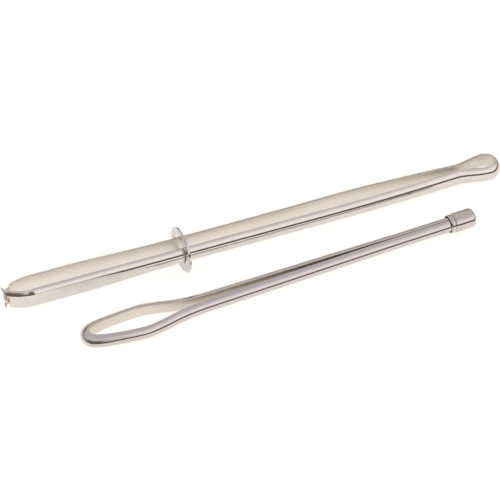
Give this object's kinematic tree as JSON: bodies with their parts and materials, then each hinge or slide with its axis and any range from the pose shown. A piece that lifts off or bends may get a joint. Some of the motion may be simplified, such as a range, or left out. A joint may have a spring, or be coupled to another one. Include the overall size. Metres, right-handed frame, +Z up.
{
  "type": "bodkin",
  "caption": "Steel bodkin set: a sprung clip bodkin with clawed jaws and a sliding ring, beside a folded wire bodkin with a long eye and a capped end.",
  "frame": {"origin": "the middle of the space that the two tools take, on the table that they lie on", "axes": "+X along the clip bodkin from its jaws to its bow, +Y from the wire bodkin to the clip bodkin, +Z up"},
  "size_m": [0.1251, 0.0232, 0.0111],
  "materials": {
    "clip_nickel": "polished nickel plate, warm",
    "ring_nickel": "polished nickel plate, brighter",
    "wire_nickel": "polished nickel plate, greyer",
    "cap_nickel": "polished nickel plate, greyer"
  },
  "bodies": {
    "bow": {"bow": "clip_nickel"},
    "near_arm": {"near_arm": "clip_nickel"},
    "far_arm": {"far_arm": "clip_nickel"},
    "slide_ring": {"slide_ring": "ring_nickel"},
    "wire_bodkin": {"eye_wire": "wire_nickel", "end_cap": "cap_nickel"}
  },
  "joints": [
    {"name": "ring_slide", "type": "slide", "parent": "bow", "child": "slide_ring", "axis": [0.999, 0, -0.0442], "range_m": [-0.008, 0.075]},
    {"name": "near_arm_spring", "type": "hinge", "parent": "bow", "child": "near_arm", "pos_m": [0.05094, 0.00425, 0.00237], "axis": [0.0442, 0, 0.999], "range_deg": [-0.13, 1.15]},
    {"name": "far_arm_spring", "type": "hinge", "parent": "bow", "child": "far_arm", "pos_m": [0.05094, 0.0078, 0.00237], "axis": [0.0442, 0, 0.999], "range_deg": [-1.15, 0.13]},
    {"name": "wire_bodkin_lift", "type": "slide", "parent": "bow", "child": "wire_bodkin", "axis": [0, 0, 1], "range_m": [0, 0.03]}
  ],
  "couplings": [
    {"joint": "near_arm_spring", "follows": "ring_slide", "rad_per_m": 0.26},
    {"joint": "far_arm_spring", "follows": "ring_slide", "rad_per_m": -0.26}
  ]
}
